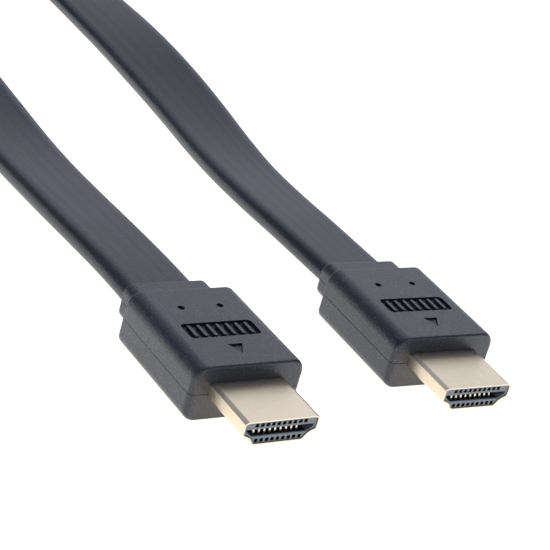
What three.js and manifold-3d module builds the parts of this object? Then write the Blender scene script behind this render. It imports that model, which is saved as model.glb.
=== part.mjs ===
import * as THREE from 'three';
import { mergeVertices } from 'three/addons/utils/BufferGeometryUtils.js';
import Module from 'manifold-3d';

// A flat audio-video lead: one ribbon cable with the same 19-contact plug on both ends.
// Millimetres, +Z up. The origin is the centre of plug a's underside, and +X is the way plug a is pushed in.
// Both plugs lie flat, the ribbon runs away from them towards -X, and its spare length is folded in a hank.

// Driving sizes of the moulded grip, which is one moulding with its cable collar
const gripLength = 23;
const gripWidth = 20.8;
const gripHeight = 9.9;
const gripEdgeRadius = 2;
const gripFrontRadius = 0.4;
const gripEdgeFacets = 6;
const collarLength = 5.2;
const collarWidth = 16.2;
const collarHeight = 6.5;
const collarEdgeRadius = 1.8;

// Small recesses in the grip's top face
const dotRadius = 0.6;
const dotDepth = 0.5;
const dotSpacing = 7.4;
const dotFromRear = 5.65;
const padLength = 4.3;
const padWidth = 13.4;
const padCornerRadius = 0.8;
const padDepth = 0.35;
const padFromFront = 8.3;
const padRibs = 7;
const padRibWidth = 0.7;
const padRibMargin = 0.5;
const arrowLength = 2.7;
const arrowWidth = 2.8;
const arrowDepth = 0.25;
const arrowFromFront = 3.3;

// The metal shell: wide above, narrower below, so that it goes in one way up
const shellWidth = 13.9;
const shellHeight = 4.45;
const shellReach = 10.9;
const shellDepthInGrip = 6;
const shellMiddleHeight = 4.7;
const shellSideHeight = 2.6;
const shellStepWidth = 11.1;
const shellStepHeight = 1.28;
const shellBottomWidth = 9.3;
const shellWall = 0.3;
const shellCornerRadius = 0.45;

// The insulator inside the shell, with its mouth and the small windows of both contact rows
const insulatorSetBack = 0.2;
const mouthWidth = 12.5;
const mouthHeight = 1.27;
const mouthAboveMiddle = 0.04;
const mouthChamferWidth = 1.25;
const mouthChamferHeight = 0.76;
const mouthDepth = 8;
const windowWidth = 0.56;
const windowHeight = 0.5;
const windowDepth = 1.6;
const windowFromMouth = 0.5;
const contactPitch = 1;
const upperContacts = 10;
const lowerContacts = 9;

// Behind the lip of the mouth each row has a bay across all its contacts, and in it a groove for each contact
const lipDepth = 0.5;
const bayMargin = 0.45;
const bayDepth = 0.45;
const grooveWidth = 0.6;
const grooveDepth = 0.5;

// A contact is a thin sprung strip that bulges into the mouth near its tip
const contactWidth = 0.4;
const contactThickness = 0.2;
const contactTipSetBack = 0.65;
const contactTipSink = 0.12;
const contactBulgeSetBack = 1.7;
const contactRootSetBack = 4.2;
const contactBulge = 0.3;

// Clearances
const fitGap = 0.05;
const cableGap = 0.3;
const cutOvershoot = 1; // how far a cut or a joined piece reaches past the face it starts from

// The ribbon and its hank
const ribbonWidth = 14;
const ribbonThickness = 3.8;
const ribbonEnds = 5; // facets of each rounded edge
const routeStep = 9;
const hankPitch = 5.2;
const hankInnerRadius = 38.5;
const hankMiddleY = -1.5;
const hankRightX = -220;
const hankLeftX = -334;
const hankStartX = -298;
const hankTurns = 2;
const hankArcStep = 10; // degrees
const straightEnd = 7; // the last stretch of each run before the hank

// The tie round one side of the hank
const tieWidth = 10;
const tieThickness = 0.9;
const tieX = -282;

// Where plug b lies beside plug a
const plugB = { x: -3.3, y: 42, yaw: -1.6 };

// The route of each run, from its collar to the hank: x, y, z and the roll in degrees, which lifts the +Y edge
const runA = [
  [-27, 0, 4.9, 0],
  [-38.5, -0.1, 4.5, 1],
  [-51, -0.1, 3.8, 2],
  [-63.5, 0, 3.15, 3],
  [-76, 0.1, 2.85, 7],
  [-88.5, 0.2, 3.05, 13],
  [-101, 0.1, 3.8, 15],
  [-115, -0.2, 5.5, 13],
  [-130, -0.5, 8.8, 8],
  [-145, -0.7, 12.7, 3],
  [-159, -0.8, 15.5, 0],
  [-174, -0.9, 16.5, 0],
  [-188, -1.2, 16, -6],
  [-203, -2.8, 14.4, -20],
  [-220, -7.5, 12, -42],
  [-238, -15.5, 9.7, -62],
  [-257, -26, 8, -78],
  [-277, -35.5, 7.1, -88],
];
const runB = [
  [-38.5, 42.6, 4.5, 1],
  [-51, 43.1, 3.8, 2],
  [-63.5, 44, 3.2, 4],
  [-76, 45.3, 3.1, 9],
  [-88.5, 46.7, 3.4, 15],
  [-101, 47.8, 3.75, 20],
  [-113.5, 48.6, 4, 23],
  [-126, 49.4, 3.95, 22],
  [-138.5, 50, 3.65, 19],
  [-153.5, 50.5, 3.25, 14],
  [-168.5, 50.7, 3, 11],
  [-181, 50.7, 3.75, 19],
  [-192, 50.6, 5.3, 38],
  [-203, 50.6, 6.75, 65],
];

const wasm = await Module();
wasm.setup();

// A closed geometry as a solid that can be joined and cut.
function toSolid(geometry) {
  const bare = geometry.clone();
  bare.deleteAttribute('normal');
  bare.deleteAttribute('uv');
  const merged = mergeVertices(bare, 1e-4);
  return new wasm.Manifold(
    new wasm.Mesh({
      numProp: 3,
      vertProperties: merged.attributes.position.array,
      triVerts: new Uint32Array(merged.index.array),
    }),
  );
}

function toGeometry(solid) {
  const mesh = solid.getMesh();
  const geometry = new THREE.BufferGeometry();
  geometry.setAttribute('position', new THREE.BufferAttribute(new Float32Array(mesh.vertProperties), 3));
  geometry.setIndex(new THREE.BufferAttribute(new Uint32Array(mesh.triVerts), 1));
  return geometry;
}

// A shape with each corner rounded by the same radius.
function roundedShape(corners, radius) {
  const shape = new THREE.Shape();
  corners.forEach((corner, i) => {
    const before = corners[(i + corners.length - 1) % corners.length];
    const after = corners[(i + 1) % corners.length];
    const start = corner.clone().add(before.clone().sub(corner).setLength(radius));
    const end = corner.clone().add(after.clone().sub(corner).setLength(radius));
    if (i === 0) shape.moveTo(start.x, start.y);
    else shape.lineTo(start.x, start.y);
    shape.quadraticCurveTo(corner.x, corner.y, end.x, end.y);
  });
  return shape;
}

function rectangle(width, height, middleX = 0, middleY = 0) {
  return [
    new THREE.Vector2(middleX - width / 2, middleY - height / 2),
    new THREE.Vector2(middleX + width / 2, middleY - height / 2),
    new THREE.Vector2(middleX + width / 2, middleY + height / 2),
    new THREE.Vector2(middleX - width / 2, middleY + height / 2),
  ];
}

// Moves each edge of a counterclockwise outline inwards by the same distance.
function insetCorners(corners, inset) {
  return corners.map((corner, i) => {
    const before = corners[(i + corners.length - 1) % corners.length];
    const after = corners[(i + 1) % corners.length];
    const into = corner.clone().sub(before).normalize();
    const away = after.clone().sub(corner).normalize();
    const intoNormal = new THREE.Vector2(-into.y, into.x);
    const awayNormal = new THREE.Vector2(-away.y, away.x);
    const share = inset / (1 + intoNormal.dot(awayNormal));
    return corner.clone().add(intoNormal.add(awayNormal).multiplyScalar(share));
  });
}

// Turns an extrusion so that its shape lies in Y and Z and its depth along X.
const alongX = new THREE.Matrix4().makeBasis(
  new THREE.Vector3(0, 1, 0),
  new THREE.Vector3(0, 0, 1),
  new THREE.Vector3(1, 0, 0),
);

// Extrudes a shape drawn in Y and Z along X, from backX to frontX.
function extrudeAlongX(shape, backX, frontX, curveSegments = 4) {
  const geometry = new THREE.ExtrudeGeometry(shape, {
    depth: frontX - backX,
    bevelEnabled: false,
    curveSegments,
  });
  return geometry.applyMatrix4(alongX).translate(backX, 0, 0);
}

// Extrudes a shape drawn in X and Y downwards from topZ.
function recessFromTop(shape, topZ, depth) {
  const geometry = new THREE.ExtrudeGeometry(shape, {
    depth: depth + cutOvershoot,
    bevelEnabled: false,
    curveSegments: 4,
  });
  return toSolid(geometry.translate(0, 0, topZ - depth));
}

const gripFrontX = gripLength / 2;
const gripRearX = -gripLength / 2;
const collarRearX = gripRearX - collarLength;
const gripMiddleZ = gripHeight / 2;
const shellFrontX = gripFrontX + shellReach;
const shellRearX = gripFrontX - shellDepthInGrip;
const mouthMiddleZ = shellMiddleHeight + mouthAboveMiddle;

// The shell's outer corners, counterclockwise from the lower left, in Y and Z.
function shellCorners() {
  const top = shellMiddleHeight + shellHeight / 2;
  const bottom = shellMiddleHeight - shellHeight / 2;
  const half = [
    [shellBottomWidth / 2, bottom],
    [shellStepWidth / 2, bottom + shellStepHeight],
    [shellWidth / 2, top - shellSideHeight],
    [shellWidth / 2, top],
  ];
  const right = half.map(([y, z]) => new THREE.Vector2(y, z));
  const left = half.map(([y, z]) => new THREE.Vector2(-y, z)).reverse();
  return [...right, ...left];
}

function shellShape(inset) {
  return roundedShape(insetCorners(shellCorners(), inset), shellCornerRadius);
}

function mouthShape() {
  const half = mouthWidth / 2;
  const top = mouthMiddleZ + mouthHeight / 2;
  const bottom = mouthMiddleZ - mouthHeight / 2;
  return new THREE.Shape([
    new THREE.Vector2(-half + mouthChamferWidth, bottom),
    new THREE.Vector2(half - mouthChamferWidth, bottom),
    new THREE.Vector2(half, bottom + mouthChamferHeight),
    new THREE.Vector2(half, top),
    new THREE.Vector2(-half, top),
    new THREE.Vector2(-half, bottom + mouthChamferHeight),
  ]);
}

// The Y of each contact in a row.
function rowPlaces(count) {
  return Array.from({ length: count }, (_, i) => (i - (count - 1) / 2) * contactPitch);
}

// Both contact rows: side is 1 above the mouth and -1 below it.
const rows = [
  { name: 'upper', side: 1, places: rowPlaces(upperContacts) },
  { name: 'lower', side: -1, places: rowPlaces(lowerContacts) },
];

// The grip's front half has a small radius all round its front face; its rear half and the collar end sharp.
function gripGeometry() {
  const section = roundedShape(rectangle(gripWidth, gripHeight, 0, gripMiddleZ), gripEdgeRadius);
  const front = new THREE.ExtrudeGeometry(section, {
    depth: gripFrontX - 2 * gripFrontRadius,
    bevelThickness: gripFrontRadius,
    bevelSize: gripFrontRadius,
    bevelOffset: -gripFrontRadius,
    bevelSegments: 2,
    curveSegments: gripEdgeFacets,
  });
  front.applyMatrix4(alongX).translate(gripFrontRadius, 0, 0);
  const rear = extrudeAlongX(section, gripRearX, 2 * gripFrontRadius, gripEdgeFacets);
  const collarSection = roundedShape(rectangle(collarWidth, collarHeight, 0, gripMiddleZ), collarEdgeRadius);
  const collar = extrudeAlongX(collarSection, collarRearX, gripRearX + cutOvershoot, gripEdgeFacets);
  const socket = extrudeAlongX(shellShape(-fitGap), shellRearX - fitGap, gripFrontX + cutOvershoot);
  const solid = toSolid(front).add(toSolid(rear)).add(toSolid(collar)).subtract(toSolid(socket));
  return toGeometry(topRecesses().reduce((rest, recess) => rest.subtract(recess), solid));
}

// The dots, the ribbed pad and the arrow in the grip's top face.
function topRecesses() {
  const dots = [-1, 1].map((side) => {
    const circle = new THREE.Shape();
    circle.absarc(gripRearX + dotFromRear, (side * dotSpacing) / 2, dotRadius, 0, 2 * Math.PI);
    return recessFromTop(circle, gripHeight, dotDepth);
  });
  const padMiddleX = gripFrontX - padFromFront - padLength / 2;
  const padShape = roundedShape(rectangle(padLength, padWidth, padMiddleX, 0), padCornerRadius);
  let pad = recessFromTop(padShape, gripHeight, padDepth);
  const ribPitch = (padWidth - 2 * padRibMargin) / padRibs;
  for (let i = 0; i < padRibs; i++) {
    const ribY = (i - (padRibs - 1) / 2) * ribPitch;
    const rib = new THREE.Shape(rectangle(padLength - 2 * padRibMargin, padRibWidth, padMiddleX, ribY));
    pad = pad.subtract(recessFromTop(rib, gripHeight, padDepth + fitGap));
  }
  const arrowTipX = gripFrontX - arrowFromFront;
  const arrow = new THREE.Shape([
    new THREE.Vector2(arrowTipX, 0),
    new THREE.Vector2(arrowTipX - arrowLength, arrowWidth / 2),
    new THREE.Vector2(arrowTipX - arrowLength, -arrowWidth / 2),
  ]);
  return [...dots, pad, recessFromTop(arrow, gripHeight, arrowDepth)];
}

function shellGeometry() {
  const tube = toSolid(extrudeAlongX(shellShape(0), shellRearX, shellFrontX));
  const boreShape = shellShape(shellWall);
  const bore = toSolid(extrudeAlongX(boreShape, shellRearX - cutOvershoot, shellFrontX + cutOvershoot));
  return toGeometry(tube.subtract(bore));
}

function insulatorGeometry() {
  const frontX = shellFrontX - insulatorSetBack;
  const block = toSolid(extrudeAlongX(shellShape(shellWall + fitGap), shellRearX, frontX));
  const mouth = toSolid(extrudeAlongX(mouthShape(), frontX - mouthDepth, frontX + cutOvershoot));
  let solid = block.subtract(mouth);
  for (const { side, places } of rows) {
    const wallZ = mouthMiddleZ + (side * mouthHeight) / 2;
    const bayWidth = places.at(-1) - places[0] + 2 * bayMargin;
    const bay = new THREE.Shape(rectangle(bayWidth, 2 * bayDepth, 0, wallZ));
    solid = solid.subtract(toSolid(extrudeAlongX(bay, frontX - mouthDepth, frontX - lipDepth)));
    for (const y of places) {
      const groove = new THREE.Shape(rectangle(grooveWidth, 2 * (bayDepth + grooveDepth), y, wallZ));
      solid = solid.subtract(toSolid(extrudeAlongX(groove, frontX - mouthDepth, frontX - lipDepth)));
      const windowZ = wallZ + side * (windowFromMouth + windowHeight / 2);
      const pane = new THREE.Shape(rectangle(windowWidth, windowHeight, y, windowZ));
      solid = solid.subtract(toSolid(extrudeAlongX(pane, frontX - windowDepth, frontX + cutOvershoot)));
    }
  }
  return toGeometry(solid);
}

// One contact, drawn from the side and given its width: it lies in its groove and bulges into the mouth.
function contactGeometry(side, y) {
  const frontX = shellFrontX - insulatorSetBack;
  const wallZ = mouthMiddleZ + (side * mouthHeight) / 2;
  const restZ = wallZ + side * (bayDepth + grooveDepth - fitGap - contactThickness / 2);
  const line = [
    [frontX - mouthDepth + fitGap, restZ],
    [frontX - contactRootSetBack, restZ],
    [frontX - contactBulgeSetBack, wallZ - side * contactBulge],
    [frontX - contactTipSetBack, wallZ + side * contactTipSink],
  ];
  const above = line.map(([x, z]) => new THREE.Vector2(x, z + contactThickness / 2));
  const below = line.map(([x, z]) => new THREE.Vector2(x, z - contactThickness / 2));
  const geometry = new THREE.ExtrudeGeometry(new THREE.Shape([...below, ...above.reverse()]), {
    depth: contactWidth,
    bevelEnabled: false,
  });
  return geometry.rotateX(Math.PI / 2).translate(0, y + contactWidth / 2, 0);
}

// The ribbon's section: flat faces with rounded edges, its width along X.
function ribbonSection() {
  const radius = ribbonThickness / 2;
  const flat = ribbonWidth / 2 - radius;
  const points = [];
  for (const side of [1, -1]) {
    for (let i = 0; i <= ribbonEnds; i++) {
      const angle = ((side === 1 ? -90 : 90) + (180 * i) / ribbonEnds) * (Math.PI / 180);
      points.push(new THREE.Vector2(side * flat + radius * Math.cos(angle), radius * Math.sin(angle)));
    }
  }
  return new THREE.Shape(points);
}

// Sweeps the section along a route, with its width level where the roll is 0.
function ribbonGeometry(route) {
  const path = new THREE.CatmullRomCurve3(route.map(([x, y, z]) => new THREE.Vector3(x, y, z)));
  const rolls = new THREE.CatmullRomCurve3(route.map((point) => new THREE.Vector3(point[3], 0, 0)));
  const steps = Math.round(path.getLength() / routeStep);
  const geometry = new THREE.ExtrudeGeometry(ribbonSection(), { depth: 1, steps, bevelEnabled: false });
  const position = geometry.attributes.position;
  const up = new THREE.Vector3(0, 0, 1);
  for (let i = 0; i < position.count; i++) {
    const share = Math.min(Math.max(position.getZ(i), 0), 1);
    const along = path.getUtoTmapping(share);
    const tangent = path.getTangent(along);
    const side = tangent.clone().cross(up).normalize();
    const rise = side.clone().cross(tangent);
    const roll = THREE.MathUtils.degToRad(rolls.getPoint(along).x);
    const width = side.clone().multiplyScalar(Math.cos(roll)).addScaledVector(rise, Math.sin(roll));
    const face = rise.clone().multiplyScalar(Math.cos(roll)).addScaledVector(side, -Math.sin(roll));
    const point = path.getPoint(along);
    point.addScaledVector(width, -position.getX(i)).addScaledVector(face, position.getY(i));
    position.setXYZ(i, point.x, point.y, point.z);
  }
  return geometry;
}

// One turn of the hank runs back along its near side, round the left end, forth and round the right end.
const hankRun = hankRightX - hankLeftX;
const hankMeanRadius = hankInnerRadius + (hankPitch * (hankTurns + 0.5)) / 2;
const hankRunShare = hankRun / (2 * hankRun + 2 * Math.PI * hankMeanRadius);
const hankStart = ((hankRightX - hankStartX) / hankRun) * hankRunShare;
const hankEnd = hankTurns + 0.5 + hankRunShare;

// The ribbon's middle line in the hank after a number of turns, moved outwards by offset.
function hankPoint(turn, offset) {
  const radius = hankInnerRadius + hankPitch * (turn - hankStart) + offset;
  const part = turn - Math.floor(turn);
  const side = part < 0.5 ? -1 : 1;
  const share = part < 0.5 ? part : part - 0.5;
  if (share <= hankRunShare) {
    const x = (share / hankRunShare) * hankRun;
    return new THREE.Vector2(side < 0 ? hankRightX - x : hankLeftX + x, hankMiddleY + side * radius);
  }
  const angle = Math.PI * ((share - hankRunShare) / (0.5 - hankRunShare));
  const middleX = side < 0 ? hankLeftX : hankRightX;
  return new THREE.Vector2(
    middleX + side * radius * Math.sin(angle),
    hankMiddleY + side * radius * Math.cos(angle),
  );
}

// One edge of the hank's solid: the points of a full turn that ends at lastTurn.
function hankEdge(lastTurn, offset) {
  const arcShare = 0.5 - hankRunShare;
  const arcSteps = Math.round(180 / hankArcStep);
  const turns = [];
  for (let half = Math.floor(2 * (lastTurn - 1)); half <= 2 * lastTurn; half++) {
    for (let i = 0; i <= arcSteps; i++) {
      turns.push(half / 2 + hankRunShare + (arcShare * i) / arcSteps);
    }
  }
  const within = turns.filter((turn) => turn > lastTurn - 1 + 1e-3 && turn < lastTurn - 1e-3);
  return [lastTurn - 1, ...within, lastTurn].map((turn) => hankPoint(turn, offset));
}

function hankGeometry() {
  const outline = new THREE.Shape(hankEdge(hankEnd, ribbonThickness / 2));
  outline.holes.push(new THREE.Path(hankEdge(hankStart + 1, -ribbonThickness / 2).reverse()));
  const turns = new THREE.ExtrudeGeometry(outline, { depth: ribbonWidth, bevelEnabled: false });
  const notch = new THREE.BoxGeometry(
    tieWidth + 2 * cableGap,
    4 * hankInnerRadius,
    2 * (tieThickness + cableGap),
  );
  notch.translate(tieX, hankMiddleY + 2 * hankInnerRadius, 0);
  return toGeometry(toSolid(turns).subtract(toSolid(notch)));
}

// The tie's band is a closed loop round the turns of the hank's far side.
function tieGeometry() {
  const share = ((tieX - hankLeftX) / hankRun) * hankRunShare;
  const outerY = hankPoint(hankTurns + 0.5 + share, ribbonThickness / 2 + cableGap).y;
  const innerY = hankPoint(0.5 + share, -ribbonThickness / 2 - cableGap).y;
  const middleY = (outerY + innerY) / 2;
  const insideWidth = outerY - innerY;
  const insideHeight = ribbonWidth - tieThickness + cableGap;
  const middleZ = tieThickness + insideHeight / 2;
  const radius = cableGap;
  const around = rectangle(insideWidth + 2 * tieThickness, insideHeight + 2 * tieThickness, middleY, middleZ);
  const band = roundedShape(around, radius + tieThickness);
  band.holes.push(roundedShape(rectangle(insideWidth, insideHeight, middleY, middleZ), radius));
  return extrudeAlongX(band, tieX - tieWidth / 2, tieX + tieWidth / 2);
}

const materials = {
  grip: new THREE.MeshStandardMaterial({ color: 0x23262b, roughness: 0.5 }),
  jacket: new THREE.MeshStandardMaterial({ color: 0x2a2d32, roughness: 0.55 }),
  shell: new THREE.MeshStandardMaterial({ color: 0xcfc5b2, roughness: 0.3, metalness: 1 }),
  insulator: new THREE.MeshStandardMaterial({ color: 0x4a5661, roughness: 0.5 }),
  contact: new THREE.MeshStandardMaterial({ color: 0xe0c48a, roughness: 0.25, metalness: 1 }),
  tie: new THREE.MeshStandardMaterial({ color: 0x1d1e20, roughness: 0.85 }),
};

function piece(name, geometry, material) {
  const mesh = new THREE.Mesh(geometry, material);
  mesh.name = name;
  return mesh;
}

// One plug, in its own frame: the centre of its underside is the origin and it points along +X.
function plug(letter) {
  const group = new THREE.Group();
  group.add(piece(`plug_${letter}_grip`, gripGeometry(), materials.grip));
  group.add(piece(`plug_${letter}_shell`, shellGeometry(), materials.shell));
  group.add(piece(`plug_${letter}_insulator`, insulatorGeometry(), materials.insulator));
  for (const { name, side, places } of rows) {
    places.forEach((y, i) => {
      const number = String(i + 1).padStart(2, '0');
      const contact = contactGeometry(side, y);
      group.add(piece(`plug_${letter}_${name}_contact_${number}`, contact, materials.contact));
    });
  }
  return group;
}

// Where a run starts: just behind the collar of a plug that is placed and turned.
function runStart({ x, y, yaw }) {
  const reach = new THREE.Vector2(collarRearX - cableGap, 0);
  reach.rotateAround(new THREE.Vector2(), THREE.MathUtils.degToRad(yaw));
  return [x + reach.x, y + reach.y, gripMiddleZ, 0];
}

// Where a run meets the hank: face to face with the end of a turn, standing on its edge.
function runEnd(turn, roll) {
  const { x, y } = hankPoint(turn, 0);
  return [x + cableGap, y, ribbonWidth / 2, roll];
}

// The last stretch before a run's end is straight, so that its end face is square to the turn's.
function beforeEnd(turn, roll) {
  const [x, y, z] = runEnd(turn, roll);
  return [x + straightEnd, y, z, roll];
}

const lead = new THREE.Group();
const first = plug('a');
const second = plug('b');
second.position.set(plugB.x, plugB.y, 0);
second.rotation.z = THREE.MathUtils.degToRad(plugB.yaw);
lead.add(first, second);

const routeA = [
  runStart({ x: 0, y: 0, yaw: 0 }),
  ...runA,
  beforeEnd(hankStart, -90),
  runEnd(hankStart, -90),
];
const routeB = [
  runStart(plugB),
  ...runB,
  beforeEnd(hankEnd, 90),
  runEnd(hankEnd, 90),
];
lead.add(piece('cable_run_a', ribbonGeometry(routeA), materials.jacket));
lead.add(piece('cable_run_b', ribbonGeometry(routeB), materials.jacket));
lead.add(piece('cable_hank', hankGeometry(), materials.jacket));
lead.add(piece('hank_tie', tieGeometry(), materials.tie));

export default lead;
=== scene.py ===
# Flat audio-video lead: the looks of one ribbon cable with the same plug on both ends
import math

import bpy
from mathutils import Matrix, Vector


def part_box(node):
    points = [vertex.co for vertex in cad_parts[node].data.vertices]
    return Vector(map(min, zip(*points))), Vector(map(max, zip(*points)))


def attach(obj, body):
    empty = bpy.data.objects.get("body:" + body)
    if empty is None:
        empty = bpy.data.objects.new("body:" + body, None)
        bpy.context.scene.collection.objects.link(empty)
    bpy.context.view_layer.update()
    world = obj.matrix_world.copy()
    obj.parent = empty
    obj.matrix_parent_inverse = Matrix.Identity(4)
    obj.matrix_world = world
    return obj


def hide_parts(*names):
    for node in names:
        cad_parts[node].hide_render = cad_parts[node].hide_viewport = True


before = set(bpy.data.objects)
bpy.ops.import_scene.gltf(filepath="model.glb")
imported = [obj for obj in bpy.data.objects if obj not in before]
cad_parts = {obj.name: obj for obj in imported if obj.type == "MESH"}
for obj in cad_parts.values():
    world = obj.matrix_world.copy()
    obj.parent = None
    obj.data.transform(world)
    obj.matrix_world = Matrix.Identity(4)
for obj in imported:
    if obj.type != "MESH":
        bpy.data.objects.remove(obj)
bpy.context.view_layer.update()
mm = 0.001  # pieces are modelled in millimetres and placed in metres


# Camera, as the photo was taken: close, from in front of the plugs and above

cameraSetup = {
    "place": (0.21074, -0.16013, 0.15086),
    "heading": 141.37,  # degrees from +X towards +Y
    "dip": 26.08,       # degrees below level
    "tilt": 16.34,      # degrees of roll
    "lens": 122.62,
    "sensor": 36,
}


def makeCamera(setup):
    heading, dip, tilt = (math.radians(setup[k]) for k in ("heading", "dip", "tilt"))
    ahead = Vector((math.cos(heading) * math.cos(dip), math.sin(heading) * math.cos(dip), -math.sin(dip)))
    levelRight = ahead.cross(Vector((0, 0, 1))).normalized()
    levelUp = levelRight.cross(ahead)
    right = levelRight * math.cos(tilt) + levelUp * math.sin(tilt)
    up = right.cross(ahead)
    bpy.ops.object.camera_add(location=setup["place"])
    camera = bpy.context.object
    camera.name = "photo_camera"
    turn = Matrix((right, up, -ahead)).transposed()
    camera.rotation_mode = "QUATERNION"
    camera.rotation_quaternion = turn.to_quaternion()
    camera.data.lens = setup["lens"]
    camera.data.sensor_width = setup["sensor"]
    camera.data.clip_start = 0.01
    camera.data.clip_end = 50
    bpy.context.scene.camera = camera


makeCamera(cameraSetup)
print("camera is in place")


# Small helpers for selecting and finishing

def leaveEditMode():
    if bpy.context.object and bpy.context.object.mode != "OBJECT":
        bpy.ops.object.mode_set(mode="OBJECT")


def pickOnly(piece):
    leaveEditMode()
    bpy.ops.object.select_all(action="DESELECT")
    piece.select_set(True)
    bpy.context.view_layer.objects.active = piece


def editNothing(piece, kind):
    pickOnly(piece)
    bpy.ops.object.mode_set(mode="EDIT")
    bpy.ops.mesh.select_mode(type=kind)
    bpy.ops.mesh.select_all(action="DESELECT")
    bpy.ops.object.mode_set(mode="OBJECT")


def editEdges(piece, test):
    editNothing(piece, "EDGE")
    points = piece.data.vertices
    for edge in piece.data.edges:
        a, b = (points[i].co for i in edge.vertices)
        edge.select = test(a, b)
    bpy.ops.object.mode_set(mode="EDIT")


def editFaces(piece, test):
    editNothing(piece, "FACE")
    for face in piece.data.polygons:
        face.select = test(face.center, face.normal)
    bpy.ops.object.mode_set(mode="EDIT")


def editPoints(piece, test):
    editNothing(piece, "VERT")
    for point in piece.data.vertices:
        point.select = test(point.co)
    bpy.ops.object.mode_set(mode="EDIT")


def near(a, b, reach=1e-3):
    return abs(a - b) < reach


def addBox(name, low, high):
    leaveEditMode()
    bpy.ops.object.select_all(action="DESELECT")
    middle = [(a + b) / 2 for a, b in zip(low, high)]
    bpy.ops.mesh.primitive_cube_add(size=1, location=middle)
    box = bpy.context.object
    box.name = name
    box.scale = [b - a for a, b in zip(low, high)]
    bpy.ops.object.transform_apply(location=True, rotation=True, scale=True)
    return box


def bevelEdges(piece, test, width, segments, profile=0.5):
    editEdges(piece, test)
    bpy.ops.mesh.bevel(offset=width, segments=segments, profile=profile, clamp_overlap=False)
    leaveEditMode()


def useModifier(piece, kind, **settings):
    pickOnly(piece)
    modifier = piece.modifiers.new(kind.lower(), kind)
    for key, value in settings.items():
        setattr(modifier, key, value)
    bpy.ops.object.modifier_apply(modifier=modifier.name)


def combine(piece, other, operation):
    useModifier(piece, "BOOLEAN", object=other, operation=operation, solver="EXACT")
    bpy.data.objects.remove(other)


def smoothBy(piece, degrees):
    pickOnly(piece)
    bpy.ops.object.shade_smooth_by_angle(angle=math.radians(degrees))


def alongX(a, b):
    return near(a.y, b.y) and near(a.z, b.z) and abs(a.x - b.x) > 0.5


def acrossAt(x):
    return lambda a, b: near(a.x, x) and near(b.x, x)


def uprightEdge(a, b):
    return near(a.x, b.x) and near(a.y, b.y) and abs(a.z - b.z) > 0.05


def dress(piece, *materials):
    piece.data.materials.clear()
    for material in materials:
        piece.data.materials.append(material)
    piece.data.polygons.foreach_set("material_index", [0] * len(piece.data.polygons))


# Where each plug lies

plugPlaces = {
    "a": {"x": 0, "y": 0, "yaw": 0},
    "b": {"x": -3.3, "y": 42, "yaw": -1.6},
}


def placeOnPlug(master, name, letter):
    place = plugPlaces[letter]
    copy = master.copy()
    copy.data = master.data.copy()
    copy.name = name
    copy.data.name = name
    bpy.context.scene.collection.objects.link(copy)
    turn = Matrix.Rotation(math.radians(place["yaw"]), 4, "Z")
    move = Matrix.Translation((place["x"], place["y"], 0))
    copy.data.transform(Matrix.Scale(mm, 4) @ move @ turn)
    return copy


# The finished master is copied to each plug, where it takes the place of that plug's solid
def putOnBothPlugs(master, name, node):
    for letter in plugPlaces:
        piece = placeOnPlug(master, f"plug_{letter}_{name}", letter)
        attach(piece, "root")
        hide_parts(f"plug_{letter}_{node}")
    bpy.data.objects.remove(master)


# Materials

def newMaterial(name, **values):
    material = bpy.data.materials.new(name)
    material.use_nodes = True
    shader = material.node_tree.nodes["Principled BSDF"]
    for key, value in values.items():
        shader.inputs[key].default_value = value
    return material, material.node_tree.nodes, material.node_tree.links, shader


def addNode(nodes, kind, **settings):
    node = nodes.new(kind)
    for key, value in settings.items():
        if key in node.inputs:
            node.inputs[key].default_value = value
        else:
            setattr(node, key, value)
    return node


def addNoise(nodes, links, place, scale, detail=2.0, rough=0.5):
    noise = addNode(nodes, "ShaderNodeTexNoise", Scale=scale, Detail=detail, Roughness=rough)
    links.new(place, noise.inputs["Vector"])
    return noise


def addRamp(nodes, links, source, stops):
    ramp = nodes.new("ShaderNodeValToRGB")
    links.new(source, ramp.inputs["Fac"])
    while len(ramp.color_ramp.elements) < len(stops):
        ramp.color_ramp.elements.new(0.5)
    for element, (position, shade) in zip(ramp.color_ramp.elements, stops):
        element.position = position
        element.color = (*shade, 1) if hasattr(shade, "__len__") else (shade, shade, shade, 1)
    return ramp


def addBump(nodes, links, height, distance, strength=1.0, before=None):
    bump = addNode(nodes, "ShaderNodeBump", Distance=distance, Strength=strength)
    links.new(height, bump.inputs["Height"])
    if before:
        links.new(before.outputs["Normal"], bump.inputs["Normal"])
    return bump


# Sparse pale flecks in a plastic skin, a painted sparkle standing in for glints of light

paintedSparkle = {"perMetre": 4000, "from": 0.66, "to": 0.74}


def colourSocket(sockets, name):
    return [socket for socket in sockets if socket.type == "RGBA" and socket.name == name][0]


def addPaintedSparkle(nodes, links, place, tone, sparkleTint, shader):
    noise = addNoise(nodes, links, place, paintedSparkle["perMetre"], 1, 0.4)
    chosen = addRamp(nodes, links, noise.outputs["Fac"], [(paintedSparkle["from"], 0), (paintedSparkle["to"], 1)])
    mix = addNode(nodes, "ShaderNodeMix", data_type="RGBA")
    links.new(chosen.outputs["Color"], mix.inputs["Factor"])
    links.new(tone.outputs["Color"], colourSocket(mix.inputs, "A"))
    colourSocket(mix.inputs, "B").default_value = (*sparkleTint, 1)
    links.new(colourSocket(mix.outputs, "Result"), shader.inputs["Base Color"])


# Roughness that follows a pattern, from a little glossier to a little duller
def addGloss(nodes, links, pattern, shader, roughness, glossier, duller):
    gloss = addNode(nodes, "ShaderNodeMapRange")
    links.new(pattern.outputs["Fac"], gloss.inputs["Value"])
    gloss.inputs["To Min"].default_value = roughness - glossier
    gloss.inputs["To Max"].default_value = roughness + duller
    links.new(gloss.outputs["Result"], shader.inputs["Roughness"])


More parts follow.
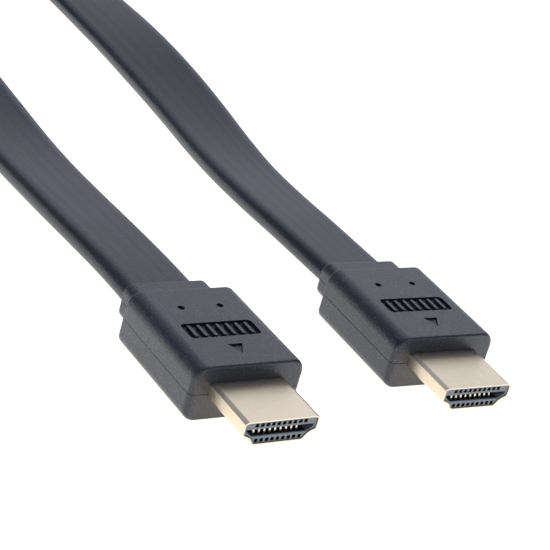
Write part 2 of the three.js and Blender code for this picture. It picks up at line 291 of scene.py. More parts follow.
mouldLook = {
    "colour": (0.016, 0.020, 0.031),
    "paler": (0.023, 0.027, 0.039),
    # sparse pale flecks, a painted sparkle
    "sparkleTint": (0.13, 0.14, 0.17),
    "coat": 0.14,
    "coatRoughness": 0.17,
    # pale colour for the rear rims, a painted highlight
    "edgeHighlight": (0.18, 0.18, 0.18),
    "edgeHighlightRoughness": 0.45,
    "grain": 4200,          # grains per metre, about 0.25 mm each
    "grainDepth": 0.00009,  # in metres
    "cloud": 160,
    "cloudDepth": 0.0002,
    "roughness": 0.29,
    "ior": 1.5,
}


def makeMould(look):
    material, nodes, links, shader = newMaterial("satin_mould")
    place = nodes.new("ShaderNodeTexCoord").outputs["Object"]
    grain = addNoise(nodes, links, place, look["grain"], 3, 0.6)
    cloud = addNoise(nodes, links, place, look["cloud"], 3, 0.55)
    tone = addRamp(nodes, links, cloud.outputs["Fac"], [(0.3, look["colour"]), (0.75, look["paler"])])
    addPaintedSparkle(nodes, links, place, tone, look["sparkleTint"], shader)
    shader.inputs["IOR"].default_value = look["ior"]
    shader.inputs["Coat Weight"].default_value = look["coat"]
    shader.inputs["Coat Roughness"].default_value = look["coatRoughness"]
    addGloss(nodes, links, grain, shader, look["roughness"], 0.07, 0.09)
    fine = addBump(nodes, links, grain.outputs["Fac"], look["grainDepth"], 1.0)
    broad = addBump(nodes, links, cloud.outputs["Fac"], look["cloudDepth"], 0.3, fine)
    links.new(broad.outputs["Normal"], shader.inputs["Normal"])
    links.new(broad.outputs["Normal"], shader.inputs["Coat Normal"])
    return material


jacketLook = {
    "colour": (0.016, 0.020, 0.030),
    "paler": (0.024, 0.028, 0.039),
    # sparse pale flecks, a painted sparkle
    "sparkleTint": (0.10, 0.11, 0.13),
    "roughness": 0.33,
    "ior": 1.46,
    "streaks": (9, 900),      # along and across the ribbon, per metre
    "streakDepth": 0.00008,   # in metres
    "specks": 2600,
    "speckDepth": 0.00006,
}


def makeJacket(look):
    material, nodes, links, shader = newMaterial("satin_jacket")
    uv = nodes.new("ShaderNodeTexCoord").outputs["UV"]
    stretch = nodes.new("ShaderNodeMapping")
    stretch.inputs["Scale"].default_value = (look["streaks"][0], look["streaks"][1], 1)
    links.new(uv, stretch.inputs["Vector"])
    streak = addNoise(nodes, links, stretch.outputs["Vector"], 1, 3, 0.55)
    speck = addNoise(nodes, links, uv, look["specks"], 2, 0.6)
    tone = addRamp(nodes, links, streak.outputs["Fac"], [(0.3, look["colour"]), (0.72, look["paler"])])
    addPaintedSparkle(nodes, links, uv, tone, look["sparkleTint"], shader)
    shader.inputs["IOR"].default_value = look["ior"]
    addGloss(nodes, links, streak, shader, look["roughness"], 0.06, 0.06)
    lines = addBump(nodes, links, streak.outputs["Fac"], look["streakDepth"], 0.5)
    skin = addBump(nodes, links, speck.outputs["Fac"], look["speckDepth"], 0.8, lines)
    links.new(skin.outputs["Normal"], shader.inputs["Normal"])
    return material


shellLook = {
    "colour": (0.75, 0.64, 0.485),
    "worn": (0.80, 0.69, 0.54),
    "roughness": 0.38,
    "mottle": 900,                     # per metre
    "drawnLines": (120, 5200, 5200),   # along, across and up the shell, per metre
    "lineDepth": 0.000005,
}


def makePlainPlastic(name, colour, roughness):
    material, nodes, links, shader = newMaterial(name, Roughness=roughness)
    shader.inputs["Base Color"].default_value = (*colour, 1)
    return material


def makeShellMetal(look):
    material, nodes, links, shader = newMaterial("nickel_plate", Metallic=1.0)
    place = nodes.new("ShaderNodeTexCoord").outputs["Object"]
    mottle = addNoise(nodes, links, place, look["mottle"], 4, 0.6)
    drawn = nodes.new("ShaderNodeMapping")
    drawn.inputs["Scale"].default_value = look["drawnLines"]
    links.new(place, drawn.inputs["Vector"])
    lines = addNoise(nodes, links, drawn.outputs["Vector"], 1, 2, 0.5)
    tone = addRamp(nodes, links, mottle.outputs["Fac"], [(0.3, look["colour"]), (0.7, look["worn"])])
    links.new(tone.outputs["Color"], shader.inputs["Base Color"])
    addGloss(nodes, links, mottle, shader, look["roughness"], 0.04, 0.04)
    bump = addBump(nodes, links, lines.outputs["Fac"], look["lineDepth"], 0.4)
    links.new(bump.outputs["Normal"], shader.inputs["Normal"])
    return material


insulatorLook = {
    "colour": (0.15, 0.18, 0.21),
    "paler": (0.20, 0.235, 0.265),
    "roughness": 0.42,
    "cloud": 1400,
    "cloudDepth": 0.00002,
    # near-black for the walls inside the windows and the mouth: painted shade
    "paintedShade": (0.012, 0.013, 0.015),
    "paintedShadeRoughness": 0.6,
}


def makeInsulatorPlastic(look):
    material, nodes, links, shader = newMaterial("insulator_plastic", Roughness=look["roughness"])
    place = nodes.new("ShaderNodeTexCoord").outputs["Object"]
    cloud = addNoise(nodes, links, place, look["cloud"], 3, 0.6)
    tone = addRamp(nodes, links, cloud.outputs["Fac"], [(0.3, look["colour"]), (0.7, look["paler"])])
    links.new(tone.outputs["Color"], shader.inputs["Base Color"])
    bump = addBump(nodes, links, cloud.outputs["Fac"], look["cloudDepth"], 0.5)
    links.new(bump.outputs["Normal"], shader.inputs["Normal"])
    return material


contactLook = {"colour": (0.98, 0.90, 0.76), "darker": (0.92, 0.83, 0.66), "roughness": 0.3, "cloud": 2500}


def makeContactMetal(look):
    material, nodes, links, shader = newMaterial("gold_flash", Metallic=1.0, Roughness=look["roughness"])
    place = nodes.new("ShaderNodeTexCoord").outputs["Object"]
    cloud = addNoise(nodes, links, place, look["cloud"], 2, 0.5)
    tone = addRamp(nodes, links, cloud.outputs["Fac"], [(0.35, look["darker"]), (0.65, look["colour"])])
    links.new(tone.outputs["Color"], shader.inputs["Base Color"])
    return material


tieLook = {
    "colour": (0.012, 0.0125, 0.014),
    "loops": (0.035, 0.036, 0.04),
    "roughness": 0.9,
    "sheen": 0.4,
    "sheenRoughness": 0.5,
    "loopsPerMetre": 2200,
    "loopHeight": 0.00025,
}


def makeTieCloth(look):
    material, nodes, links, shader = newMaterial("hook_and_loop_cloth", Roughness=look["roughness"])
    shader.inputs["Sheen Weight"].default_value = look["sheen"]
    shader.inputs["Sheen Roughness"].default_value = look["sheenRoughness"]
    place = nodes.new("ShaderNodeTexCoord").outputs["Object"]
    loops = addNode(nodes, "ShaderNodeTexVoronoi", Scale=look["loopsPerMetre"])
    links.new(place, loops.inputs["Vector"])
    tone = addRamp(nodes, links, loops.outputs["Distance"], [(0.1, look["loops"]), (0.7, look["colour"])])
    links.new(tone.outputs["Color"], shader.inputs["Base Color"])
    bump = addBump(nodes, links, loops.outputs["Distance"], -look["loopHeight"], 0.9)
    links.new(bump.outputs["Normal"], shader.inputs["Normal"])
    return material


mouldMaterial = makeMould(mouldLook)
# pale plastic for the rear rims: a painted highlight
edgeHighlightMaterial = makePlainPlastic("mould_edge_painted_highlight", mouldLook["edgeHighlight"], mouldLook["edgeHighlightRoughness"])
jacketMaterial = makeJacket(jacketLook)
shellMaterial = makeShellMetal(shellLook)
insulatorMaterial = makeInsulatorPlastic(insulatorLook)
# the near-black painted shade for the insulator's inner walls
paintedShade, paintedShadeRoughness = insulatorLook["paintedShade"], insulatorLook["paintedShadeRoughness"]
paintedShadeMaterial = makePlainPlastic("insulator_painted_shade", paintedShade, paintedShadeRoughness)
contactMaterial = makeContactMetal(contactLook)
tieMaterial = makeTieCloth(tieLook)
print("materials are made")


# The ribbon: its route is the solids' own, in millimetres, with the roll in degrees that lifts the +Y edge

ribbon = {
    "width": 14,
    "thickness": 3.8,
    "length": 1800,
    "edgeSteps": 8,
    "flatSteps": 18,
    "ridge": 0.02,      # depth of the shallow valleys between the wires
    "valleys": 4,
    "ringStep": 2.2,
    "intoCollar": 1.5,
}
hank = {
    "pitch": 5.2,
    "innerRadius": 38.5,
    "middleY": -1.5,
    "rightX": -220,
    "leftX": -334,
    "startX": -298,
    "turns": 2,
    "arcSteps": 15,
    "runSteps": 6,
    "standZ": 7,
}
tie = {
    "x": -282,
    "thickness": 0.9,
    "liftReach": 26,    # how far before the tie its ribbons start to rise over it
    "liftSlope": 1.3,
}
runA = [
    (-27, 0, 4.9, 0), (-38.5, -0.1, 4.5, 1), (-51, -0.1, 3.8, 2), (-63.5, 0, 3.15, 3), (-76, 0.1, 2.85, 7),
    (-88.5, 0.2, 3.05, 13), (-101, 0.1, 3.8, 15), (-115, -0.2, 5.5, 13), (-130, -0.5, 8.8, 8),
    (-145, -0.7, 12.7, 3), (-159, -0.8, 15.5, 0), (-174, -0.9, 16.5, 0), (-188, -1.2, 16, -6),
    (-203, -2.8, 14.4, -20), (-220, -7.5, 12, -42), (-238, -15.5, 9.7, -62), (-257, -26, 8, -78),
    (-277, -35.5, 7.1, -88), (-290, -40, 7, -90),
]
runB = [
    (-38.5, 42.6, 4.5, 1), (-51, 43.1, 3.8, 2), (-63.5, 44, 3.2, 4), (-76, 45.3, 3.1, 9),
    (-88.5, 46.7, 3.4, 15), (-101, 47.8, 3.75, 20), (-113.5, 48.6, 4, 23), (-126, 49.4, 3.95, 22),
    (-138.5, 50, 3.65, 19), (-153.5, 50.5, 3.25, 14), (-168.5, 50.7, 3, 11), (-181, 50.7, 3.75, 19),
    (-192, 50.6, 5.3, 38), (-203, 50.6, 6.75, 65), (-213, 50.36, 7, 90),
]


def easeInOut(share):
    share = min(max(share, 0), 1)
    return share * share * (3 - 2 * share)


def hankPoints():
    run = hank["rightX"] - hank["leftX"]
    meanRadius = hank["innerRadius"] + hank["pitch"] * (hank["turns"] + 0.5) / 2
    runShare = run / (2 * run + 2 * math.pi * meanRadius)
    start = (hank["rightX"] - hank["startX"]) / run * runShare
    end = hank["turns"] + 0.5 + runShare
    marks = []
    half = 0
    while half / 2 < end:
        marks += [half / 2 + runShare * i / hank["runSteps"] for i in range(hank["runSteps"])]
        arc = 0.5 - runShare
        marks += [half / 2 + runShare + arc * i / hank["arcSteps"] for i in range(hank["arcSteps"])]
        half += 1
    points = []
    for turn in [start] + [t for t in marks if start + 0.01 < t < end - 0.005] + [end]:
        radius = hank["innerRadius"] + hank["pitch"] * (turn - start)
        part = turn % 1
        side = -1 if part < 0.5 else 1
        share = part if part < 0.5 else part - 0.5
        if share <= runShare + 1e-9:
            along = share / runShare * run
            x = hank["rightX"] - along if side < 0 else hank["leftX"] + along
            y = hank["middleY"] + side * radius
        else:
            angle = math.pi * (share - runShare) / (0.5 - runShare)
            middleX = hank["leftX"] if side < 0 else hank["rightX"]
            x = middleX + side * radius * math.sin(angle)
            y = hank["middleY"] + side * radius * math.cos(angle)
        lift = 0
        if side > 0 and share <= runShare + 1e-9:
            closeness = tie["liftSlope"] * (1 - abs(x - tie["x"]) / tie["liftReach"])
            lift = (tie["thickness"] + 0.1) * easeInOut(closeness)
        points.append((x, y, hank["standZ"] + lift, -90))
    return points


def ribbonRoute():
    a, b = plugPlaces["a"], plugPlaces["b"]
    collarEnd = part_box("plug_a_grip")[0].x / mm + ribbon["intoCollar"]
    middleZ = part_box("plug_a_grip")[1].z / mm / 2
    start = (collarEnd, a["y"], middleZ, 0)
    yaw = math.radians(b["yaw"])
    end = (b["x"] + collarEnd * math.cos(yaw), b["y"] + collarEnd * math.sin(yaw), middleZ, 0)
    back = [(x, y, z, -roll) for x, y, z, roll in reversed(runB)]
    return [start] + runA + hankPoints() + back + [end]


# A smooth line through the route, cut into rings at even steps

def throughPoints(points, perStretch):
    places = [Vector(p) for p in points]
    places = [2 * places[0] - places[1]] + places + [2 * places[-1] - places[-2]]
    line = []
    for i in range(1, len(places) - 2):
        p0, p1, p2, p3 = places[i - 1:i + 3]
        t1 = (p1.xyz - p0.xyz).length ** 0.5
        t2 = t1 + (p2.xyz - p1.xyz).length ** 0.5
        t3 = t2 + (p3.xyz - p2.xyz).length ** 0.5
        for step in range(perStretch):
            t = t1 + (t2 - t1) * step / perStretch
            a1 = p0 * ((t1 - t) / t1) + p1 * (t / t1)
            a2 = p1 * ((t2 - t) / (t2 - t1)) + p2 * ((t - t1) / (t2 - t1))
            a3 = p2 * ((t3 - t) / (t3 - t2)) + p3 * ((t - t2) / (t3 - t2))
            b1 = a1 * ((t2 - t) / t2) + a2 * (t / t2)
            b2 = a2 * ((t3 - t) / (t3 - t1)) + a3 * ((t - t1) / (t3 - t1))
            line.append(b1 * ((t2 - t) / (t2 - t1)) + b2 * ((t - t1) / (t2 - t1)))
    return line + [places[-2]]


def evenSteps(line, step):
    travelled = [0]
    for a, b in zip(line, line[1:]):
        travelled.append(travelled[-1] + (b.xyz - a.xyz).length)
    count = round(travelled[-1] / step)
    rings = []
    i = 0
    for k in range(count + 1):
        target = travelled[-1] * k / count
        while i < len(line) - 2 and travelled[i + 1] < target:
            i += 1
        share = (target - travelled[i]) / (travelled[i + 1] - travelled[i])
        rings.append(line[i].lerp(line[i + 1], share))
    return rings, travelled[-1] / count


def ribbonSection():
    half, radius = ribbon["width"] / 2, ribbon["thickness"] / 2
    flat = half - radius
    outline = []
    for side in (1, -1):
        for i in range(ribbon["edgeSteps"]):
            angle = math.pi * (i / ribbon["edgeSteps"] - 0.5)
            outline.append((side * (flat + radius * math.cos(angle)), side * radius * math.sin(angle)))
        for i in range(ribbon["flatSteps"]):
            share = i / ribbon["flatSteps"]
            dip = ribbon["ridge"] * (1 - math.cos(2 * math.pi * ribbon["valleys"] * share)) / 2
            outline.append((side * flat * (1 - 2 * share), side * (radius - dip)))
    return outline


def makeRibbon():
    route = ribbonRoute()
    rings, step = evenSteps(throughPoints(route, 24), ribbon["ringStep"])
    outline = ribbonSection()
    across = [0]
    for a, b in zip(outline, outline[1:] + outline[:1]):
        across.append(across[-1] + math.dist(a, b))
    points = []
    for i, ring in enumerate(rings):
        ahead = (rings[min(i + 1, len(rings) - 1)].xyz - rings[max(i - 1, 0)].xyz).normalized()
        side = ahead.cross(Vector((0, 0, 1))).normalized()
        rise = side.cross(ahead)
        roll = math.radians(ring.w)
        wide = side * math.cos(roll) + rise * math.sin(roll)
        face = rise * math.cos(roll) - side * math.sin(roll)
        points += [(ring.xyz + wide * x + face * y) * mm for x, y in outline]
    n = len(outline)
    last = (len(rings) - 1) * n
    faces = [tuple(range(n)), tuple(range(last + n - 1, last - 1, -1))]
    farU = step * (len(rings) - 1) * mm
    flatUv = [(0, v * mm) for v in across[:n]] + [(farU, v * mm) for v in reversed(across[:n])]
    for i in range(len(rings) - 1):
        for j in range(n):
            k = (j + 1) % n
            faces.append((i * n + j, (i + 1) * n + j, (i + 1) * n + k, i * n + k))
            u, v, w = i * step * mm, across[j] * mm, across[j + 1] * mm
            flatUv += [(u, v), (u + step * mm, v), (u + step * mm, w), (u, w)]
    mesh = bpy.data.meshes.new("flat_cable")
    mesh.from_pydata(points, [], faces)
    layer = mesh.uv_layers.new(name="along_and_across")
    for place, uv in zip(layer.data, flatUv):
        place.uv = uv
    piece = bpy.data.objects.new("flat_cable", mesh)
    bpy.context.scene.collection.objects.link(piece)
    dress(piece, jacketMaterial)
    pickOnly(piece)
    bpy.ops.object.mode_set(mode="EDIT")
    bpy.ops.mesh.select_all(action="SELECT")
    bpy.ops.mesh.normals_make_consistent(inside=False)
    leaveEditMode()
    smoothBy(piece, 50)
    return piece, [tuple(ring.xyz * mm) for ring in rings]


cable, cablePath = makeRibbon()
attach(cable, "root")
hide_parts("cable_run_a", "cable_run_b", "cable_hank")
print("ribbon is laid:", len(cablePath), "rings")


# The band that holds the hank: woven hook-and-loop tape, its end lapped over the top

band = {
    "edge": 2.2,
    "segments": 6,
    "softEdge": 0.25,
    "lapLength": 9,
    "lapThickness": 0.8,
    "lapNarrower": 0.3,   # on each side
    "lapFromEdge": 1.2,
    "lapEdge": 0.35,
}


def makeBand():
    low, high = (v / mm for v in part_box("hank_tie"))
    outer = addBox("hank_band", low, high)
    bevelEdges(outer, alongX, band["edge"], band["segments"])
    editFaces(outer, lambda c, n: abs(n.x) > 0.9)
    bpy.ops.mesh.delete(type="FACE")
    leaveEditMode()
    useModifier(outer, "SOLIDIFY", thickness=tie["thickness"], offset=-1, use_even_offset=True)
    endY = high.y - band["edge"] - band["lapFromEdge"]
    lapLow = (low.x + band["lapNarrower"], endY - band["lapLength"], high.z - 0.2)
    lapHigh = (high.x - band["lapNarrower"], endY, high.z + band["lapThickness"])
    lap = addBox("lap", lapLow, lapHigh)
    bevelEdges(lap, lambda a, b: near(a.z, b.z) and a.z > high.z, band["lapEdge"], 3)
    combine(outer, lap, "UNION")
    bothRims = lambda a, b: near(a.x, b.x) and (near(a.x, low.x) or near(a.x, high.x))
    bevelEdges(outer, bothRims, band["softEdge"], 2)
    smoothBy(outer, 40)
    outer.data.transform(Matrix.Scale(mm, 4))
    dress(outer, tieMaterial)
    return outer


tiePiece = makeBand()
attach(tiePiece, "root")
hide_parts("hank_tie")
print("hank band is made")


# The moulded grip with its collar, one moulding

grip = {
    "rear": -11.5,
    "front": 11.5,
    "width": 20.8,
    "height": 9.9,
    "topEdge": 2.6,
    "longEdge": 2,
    "frontEdge": 0.4,
    "frontCorner": 0.95,   # its two upright edges
    "rearEdge": 0.22,
    # width of the pale rear-rim band, a painted highlight
    "highlightBand": 0.2,
    "seamWidth": 0.09,
    "seamDepth": 0.07,
}
collar = {"rear": -16.7, "width": 16.2, "height": 6.5, "longEdge": 1.8, "rearEdge": 0.22}
topMarks = {
    "dotX": -5.85,
    "dotY": 3.7,
    "dotRadius": 0.6,
    "dotDepth": 0.5,
    "padX": 1.05,
    "padLength": 4.3,
    "padWidth": 13.4,
    "padCorner": 0.8,
    "padDepth": 0.55,
    "ribs": 7,
    "ribWidth": 0.7,
    "ribMargin": 0.5,
    "ribCorner": 0.3,
    "ribEdge": 0.12,
    "arrowTip": 8.2,
    "arrowLength": 2.7,
    "arrowWidth": 2.8,
    "arrowDepth": 0.32,
}


def makeGrip():
    half, middle = grip["width"] / 2, grip["height"] / 2
    frontStart = grip["front"] - grip["frontCorner"]
    body = addBox("grip", (grip["rear"], -half, 0), (frontStart, half, grip["height"]))
    bevelEdges(body, lambda a, b: alongX(a, b) and a.z > middle, grip["topEdge"], 12)
    bevelEdges(body, lambda a, b: alongX(a, b) and near(a.z, 0), grip["longEdge"], 10)
    roundFront(body, half, middle)
    bevelEdges(body, acrossAt(grip["rear"]), grip["rearEdge"], 4)
    side, rise = collar["width"] / 2, collar["height"] / 2
    sleeve = addBox("collar", (collar["rear"], -side, middle - rise), (grip["rear"] + 1, side, middle + rise))
    bevelEdges(sleeve, alongX, collar["longEdge"], 9)
    bevelEdges(sleeve, acrossAt(collar["rear"]), collar["rearEdge"], 4)
    combine(body, sleeve, "UNION")
    cutSeam(body, half, side, middle)
    cutTopMarks(body)
    socket = shellBlock("socket", shell["socketGap"], shell["front"] + 0.9)
    combine(body, socket, "DIFFERENCE")
    dress(body, mouldMaterial, edgeHighlightMaterial)
    paintRearEdgeHighlight(body)
    smoothBy(body, 30)
    useModifier(body, "WEIGHTED_NORMAL", keep_sharp=True)
    return body


# The front face is eased a little above and below and more at its two upright corners
def roundFront(body, half, middle):
    radii = {"side": grip["frontCorner"], "level": grip["frontEdge"]}
    reaches = {radii["side"] * math.sin(math.radians(t)) for t in (12, 24, 36, 46, 56, 66, 76, 90)}
    reaches |= {radii["side"] - radii["level"] * (1 - math.sin(math.radians(t))) for t in (0, 20, 40, 60, 75)}

    def inset(radius, reach):
        past = max(0, reach - radii["side"] + radius)
        return radius - math.sqrt(max(0, radius * radius - past * past))

    editFaces(body, lambda c, n: n.x > 0.9)
    before = 0
    for reach in sorted(reaches):
        bpy.ops.mesh.extrude_region_move(TRANSFORM_OT_translate={"value": (reach - before, 0, 0)})
        wide = (half - inset(radii["side"], reach)) / (half - inset(radii["side"], before))
        tall = (middle - inset(radii["level"], reach)) / (middle - inset(radii["level"], before))
        bpy.ops.transform.resize(value=(1, wide, tall), center_override=(0, 0, middle))
        before = reach
    leaveEditMode()


# The moulding's parting line, a hair-thin groove all round at mid height
def cutSeam(body, half, side, middle):
    low, high = middle - grip["seamWidth"] / 2, middle + grip["seamWidth"] / 2
    deep = grip["seamDepth"]
    rear, front = grip["rear"], grip["front"]
    ring = addBox("seam", (collar["rear"] - 2, -half - 2, low), (front + 2, half + 2, high))
    wide = addBox("inner", (rear + deep, -half + deep, low - 1), (front - deep, half - deep, high + 1))
    bevelEdges(wide, lambda a, b: uprightEdge(a, b) and a.x > 0, grip["frontCorner"] - deep, 8)
    slim = addBox("inner", (collar["rear"] + deep, -side + deep, low - 1), (rear + 1, side - deep, high + 1))
    combine(ring, wide, "DIFFERENCE")
    combine(ring, slim, "DIFFERENCE")
    combine(body, ring, "DIFFERENCE")


# A narrow band of paler skin along the rear edges, a painted highlight where the rims catch light
def paintRearEdgeHighlight(body):
    for rear in (grip["rear"], collar["rear"]):
        editFaces(body, lambda c, n: True)
        bpy.ops.mesh.bisect(plane_co=(rear + grip["highlightBand"], 0, 0), plane_no=(1, 0, 0))
        leaveEditMode()
    for face in body.data.polygons:
        outward = face.normal.x > -0.9
        offGrip = grip["rear"] - 0.01 < face.center.x < grip["rear"] + grip["highlightBand"]
        offCollar = collar["rear"] - 0.01 < face.center.x < collar["rear"] + grip["highlightBand"]
        face.material_index = 1 if outward and (offGrip or offCollar) else 0


def cutTopMarks(body):
    marks, top = topMarks, grip["height"]
    for side in (-1, 1):
        depth = marks["dotDepth"]
        bpy.ops.mesh.primitive_cylinder_add(
            vertices=32,
            radius=marks["dotRadius"],
            depth=depth + 1,
            location=(marks["dotX"], side * marks["dotY"], top - depth + (depth + 1) / 2),
        )
        dot = bpy.context.object
        bpy.ops.object.transform_apply(location=True)
        combine(body, dot, "DIFFERENCE")
    back, front = marks["padX"] - marks["padLength"] / 2, marks["padX"] + marks["padLength"] / 2
    half = marks["padWidth"] / 2
    pad = addBox("pad", (back, -half, top - marks["padDepth"]), (front, half, top + 1))
    bevelEdges(pad, uprightEdge, marks["padCorner"], 6)
    pitch = (marks["padWidth"] - 2 * marks["ribMargin"]) / marks["ribs"]
    for i in range(marks["ribs"]):
        y = (i - (marks["ribs"] - 1) / 2) * pitch
        low = (back + marks["ribMargin"], y - marks["ribWidth"] / 2, top - 1)
        high = (front - marks["ribMargin"], y + marks["ribWidth"] / 2, top)
        rib = addBox("rib", low, high)
        bevelEdges(rib, uprightEdge, marks["ribCorner"], 4)
        bevelEdges(rib, lambda a, b: near(a.z, top) and near(b.z, top), marks["ribEdge"], 2)
        combine(pad, rib, "DIFFERENCE")
    combine(body, pad, "DIFFERENCE")
    tip, length, width = marks["arrowTip"], marks["arrowLength"], marks["arrowWidth"] / 2
    arrow = addBox("arrow", (tip - length, -width, top - marks["arrowDepth"]), (tip, width, top + 1))
    editPoints(arrow, lambda p: near(p.x, tip))
    bpy.ops.transform.resize(value=(1, 0.002, 1), center_override=(tip, 0, top))
    leaveEditMode()
    combine(body, arrow, "DIFFERENCE")


# The shell: a drawn metal sleeve, wide above and stepped in below

shell = {
    "rear": 5.5,
    "front": 22.4,
    "low": 2.475,
    "high": 6.925,
    "half": 6.95,
    "shoulderZ": 4.325,
    "stepZ": 3.755,
    "stepHalf": 5.55,
    "lowHalf": 4.65,
    "wall": 0.3,
    "corner": 0.45,
    "foldWide": 0.74,
    "foldTall": 0.36,
    "foldEdge": 0.07,
    "rim": 0.07,
    "socketGap": 0.03,
}


def shellBlock(name, grow, front):
    low = (shell["rear"] - grow, -shell["half"] - grow, shell["low"] - grow)
    block = addBox(name, low, (front, shell["half"] + grow, shell["high"] + grow))
    for z in (shell["shoulderZ"] - grow, shell["stepZ"] - grow):
        editFaces(block, lambda c, n: True)
        bpy.ops.mesh.bisect(plane_co=(0, 0, z), plane_no=(0, 0, 1))
        leaveEditMode()
    for z, width in ((shell["stepZ"], shell["stepHalf"]), (shell["low"], shell["lowHalf"])):
        editPoints(block, lambda p: near(p.z, z - grow))
        squeeze = (width + grow) / (shell["half"] + grow)
        bpy.ops.transform.resize(value=(1, squeeze, 1), center_override=(0, 0, 0))
        leaveEditMode()
    top = shell["high"] + grow
    bevelEdges(block, lambda a, b: alongX(a, b) and a.z < top - 0.1, shell["corner"], 6)
    bevelEdges(block, lambda a, b: alongX(a, b) and a.z > top - 0.1, shell["foldTall"], 1)
    editPoints(block, lambda p: near(p.z, top))
    narrow = (shell["half"] - shell["foldWide"]) / (shell["half"] - shell["foldTall"])
    bpy.ops.transform.resize(value=(1, narrow, 1), center_override=(0, 0, top))
    leaveEditMode()
    foldLow = top - shell["foldTall"] - 0.1
    bevelEdges(block, lambda a, b: alongX(a, b) and a.z > foldLow, shell["foldEdge"], 2)
    return block


def makeShell():
    sleeve = shellBlock("shell", 0, shell["front"])
    editFaces(sleeve, lambda c, n: abs(n.x) > 0.9)
    bpy.ops.mesh.delete(type="FACE")
    leaveEditMode()
    useModifier(sleeve, "SOLIDIFY", thickness=shell["wall"], offset=-1, use_even_offset=True)
    editFaces(sleeve, lambda c, n: n.x > 0.9 and near(c.x, shell["front"]))
    bpy.ops.mesh.region_to_loop()
    bpy.ops.mesh.bevel(offset=shell["rim"], segments=2, clamp_overlap=False)
    leaveEditMode()
    smoothBy(sleeve, 30)
    useModifier(sleeve, "WEIGHTED_NORMAL", keep_sharp=True)
    dress(sleeve, shellMaterial)
    return sleeve


putOnBothPlugs(makeGrip(), "moulding", "grip")
print("grips are made")
putOnBothPlugs(makeShell(), "sleeve", "shell")
print("shells are made")


# The insulator keeps the solid's own form, with wider windows, an eased lower lip and painted shade on its
# inner walls

insulator = {
    "front": 22.2,
    "windowWidth": 0.66,
    "windowDepth": 1.6,
    "lipEdge": 0.16,
    "mouthMiddleZ": 4.74,
    "mouthHalf": 6.25,
    "mouthLow": 4.105,
    "mouthKneeZ": 4.865,
    # the walls of the windows and the mouth past these limits get painted shade
    "shadeStart": 0.04,    # the windows' walls are dark from here behind the front face
    "shadeHalf": 5.2,
    "bayStart": 0.6,        # and the mouth's walls from here
    "bayHalf": 5,
    "bayLow": 3,
    "bayHigh": 6.2,
}
rows = [
    {"name": "upper", "count": 10, "windowZ": 6.03, "windowHeight": 0.6, "side": 1},
    {"name": "lower", "count": 9, "windowZ": 3.22, "windowHeight": 0.56, "side": -1},
]


def makeInsulator():
    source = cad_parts["plug_a_insulator"]
    block = source.copy()
    block.data = source.data.copy()
    bpy.context.scene.collection.objects.link(block)
    block.parent = None
    block.data.transform(source.matrix_world)
    block.matrix_world = Matrix.Identity(4)
    block.data.transform(Matrix.Scale(1 / mm, 4))
    editFaces(block, lambda c, n: True)
    bpy.ops.mesh.remove_doubles(threshold=0.0005)
    bpy.ops.mesh.dissolve_limited(angle_limit=math.radians(1))
    leaveEditMode()
    front, knee = insulator["front"], insulator["mouthKneeZ"]
    for row in rows:
        wide, tall = insulator["windowWidth"] / 2, row["windowHeight"] / 2
        for i in range(row["count"]):
            y = i - (row["count"] - 1) / 2
            low = (front - insulator["windowDepth"], y - wide, row["windowZ"] - tall)
            window = addBox("window", low, (front + 1, y + wide, row["windowZ"] + tall))
            combine(block, window, "DIFFERENCE")

    def lowerLip(a, b):
        flush = near(a.x, front) and near(b.x, front)
        inside = max(abs(a.y), abs(b.y)) < insulator["mouthHalf"] + 0.01
        low = min(a.z, b.z) > insulator["mouthLow"] - 0.01 and max(a.z, b.z) < knee + 0.01
        return flush and inside and low and abs(a.y - b.y) > 0.01

    bevelEdges(block, lowerLip, insulator["lipEdge"], 3)
    smoothBy(block, 30)
    dress(block, insulatorMaterial, paintedShadeMaterial)
    # walls inside the windows and the mouth take the near-black painted shade
    for face in block.data.polygons:
        if isPaintedShade(*face.center):
            face.material_index = 1
    return block


def isPaintedShade(x, y, z):
    behind = insulator["front"] - x
    inWindow = any(abs(z - row["windowZ"]) < row["windowHeight"] / 2 + 0.07 for row in rows)
    inBay = behind > insulator["bayStart"] and abs(y) < insulator["bayHalf"]
    inBay = inBay and insulator["bayLow"] < z < insulator["bayHigh"]
    return behind > insulator["shadeStart"] and abs(y) < insulator["shadeHalf"] and (inWindow or inBay)


putOnBothPlugs(makeInsulator(), "block", "insulator")
print("insulators are made")


# A contact is a strip that rises steeply at its tip and slopes away to its root

contact = {
    "width": 0.42,
    "thickness": 0.16,
    "softEdge": 0.03,
    "path": [
        (18.0, 3.8), (19.3, 4.0), (20.2, 4.33), (20.55, 4.5), (20.7, 4.55), (20.82, 4.5), (20.9, 4.36),
        (20.98, 4.15), (21.05, 3.95), (21.12, 3.78),
    ],
}


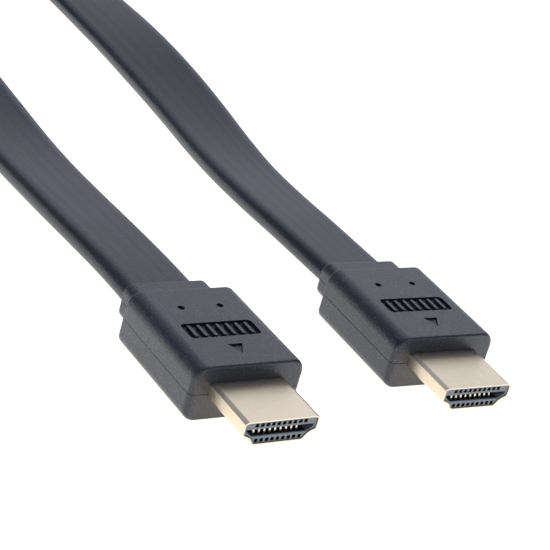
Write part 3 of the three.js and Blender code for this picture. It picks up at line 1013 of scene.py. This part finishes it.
def makeContact(y, side):
    leaveEditMode()
    bpy.ops.object.select_all(action="DESELECT")
    firstX, firstZ = contact["path"][0]
    bpy.ops.mesh.primitive_plane_add(size=contact["width"], location=(firstX, y, firstZ))
    strip = bpy.context.object
    bpy.ops.object.transform_apply(location=True)
    editPoints(strip, lambda p: p.x < firstX)
    bpy.ops.mesh.delete(type="VERT")
    bpy.ops.mesh.select_all(action="SELECT")
    bpy.ops.transform.translate(value=(-contact["width"] / 2, 0, 0))
    x, z = firstX, firstZ
    for nextX, nextZ in contact["path"][1:]:
        move = {"value": (nextX - x, 0, nextZ - z)}
        bpy.ops.mesh.extrude_region_move(TRANSFORM_OT_translate=move)
        x, z = nextX, nextZ
    bpy.ops.mesh.select_all(action="SELECT")
    bpy.ops.mesh.normals_make_consistent(inside=False)
    leaveEditMode()
    useModifier(strip, "SOLIDIFY", thickness=contact["thickness"], offset=0, use_even_offset=True)
    useModifier(strip, "BEVEL", width=contact["softEdge"], segments=2, angle_limit=math.radians(50))
    if side > 0:
        flip = Matrix.Translation((0, 0, 2 * insulator["mouthMiddleZ"])) @ Matrix.Diagonal((1, 1, -1, 1))
        strip.data.transform(flip)
        strip.data.flip_normals()
    smoothBy(strip, 40)
    dress(strip, contactMaterial)
    return strip


for row in rows:
    for i in range(row["count"]):
        strip = makeContact(i - (row["count"] - 1) / 2, row["side"])
        name, node = (f"{row['name']}_{kind}_{i + 1:02d}" for kind in ("strip", "contact"))
        putOnBothPlugs(strip, name, node)
print("contacts are made")


# Floor and light: a white floor that lights the sides from below, and a soft light overhead

floorLook = {"size": 8, "colour": (0.9, 0.9, 0.9), "glow": (1, 0.955, 0.88), "glowStrength": 1.12}
skyLook = {"colour": (0.20, 0.22, 0.27), "strength": 1.0}
softLights = [
    {
        "name": "overhead",
        "place": (-0.1, 0.1, 0.9),
        "aim": (-0.05, 0.02, 0),
        "wide": 0.4,
        "high": 0.4,
        "power": 1.3,
        "colour": (0.7, 0.9, 1.25),
    },
    {
        "name": "far_panel",
        "place": (-1.15, 0.56, 0.56),
        "aim": (-0.05, 0.02, 0),
        "wide": 1.5,
        "high": 1.1,
        "power": 3.9,
        "colour": (0.94, 0.97, 1.05),
    },
    {
        "name": "front_panel",
        "place": (1.0, 0.7, 0.14),
        "aim": (0, 0.02, 0),
        "wide": 0.8,
        "high": 0.24,
        "power": 0.9,
        "colour": (1, 0.98, 0.95),
    },
    {
        "name": "high_panel",
        "place": (-0.41, 0.48, 0.72),
        "aim": (0, 0.02, 0),
        "wide": 0.35,
        "high": 0.35,
        "power": 0.45,
        "colour": (1, 0.97, 0.93),
    },
]


def makeFloor(look):
    bpy.ops.mesh.primitive_plane_add(size=look["size"], location=(0, 0, 0))
    floor = bpy.context.object
    floor.name = "pale_floor"
    material, nodes, links, shader = newMaterial("pale_floor", Roughness=1.0)
    shader.inputs["Base Color"].default_value = (*look["colour"], 1)
    shader.inputs["Emission Color"].default_value = (*look["glow"], 1)
    shader.inputs["Emission Strength"].default_value = look["glowStrength"]
    shader.inputs["Specular IOR Level"].default_value = 0
    floor.data.materials.append(material)


def makeSky(look):
    world = bpy.context.scene.world or bpy.data.worlds.new("studio")
    bpy.context.scene.world = world
    world.use_nodes = True
    background = world.node_tree.nodes["Background"]
    background.inputs["Color"].default_value = (*look["colour"], 1)
    background.inputs["Strength"].default_value = look["strength"]


def makeLight(setup):
    bpy.ops.object.light_add(type="AREA", location=setup["place"])
    light = bpy.context.object
    light.name = setup["name"]
    light.data.shape = "RECTANGLE"
    light.data.size = setup["wide"]
    light.data.size_y = setup["high"]
    light.data.energy = setup["power"]
    light.data.color = setup["colour"]
    aim = Vector(setup["aim"]) - Vector(setup["place"])
    light.rotation_mode = "QUATERNION"
    light.rotation_quaternion = aim.to_track_quat("-Z", "Y")


makeFloor(floorLook)
makeSky(skyLook)
for setup in softLights:
    makeLight(setup)
bpy.context.scene.view_settings.view_transform = "Standard"
print("floor and lights are in place")

bpy.context.view_layer.update()
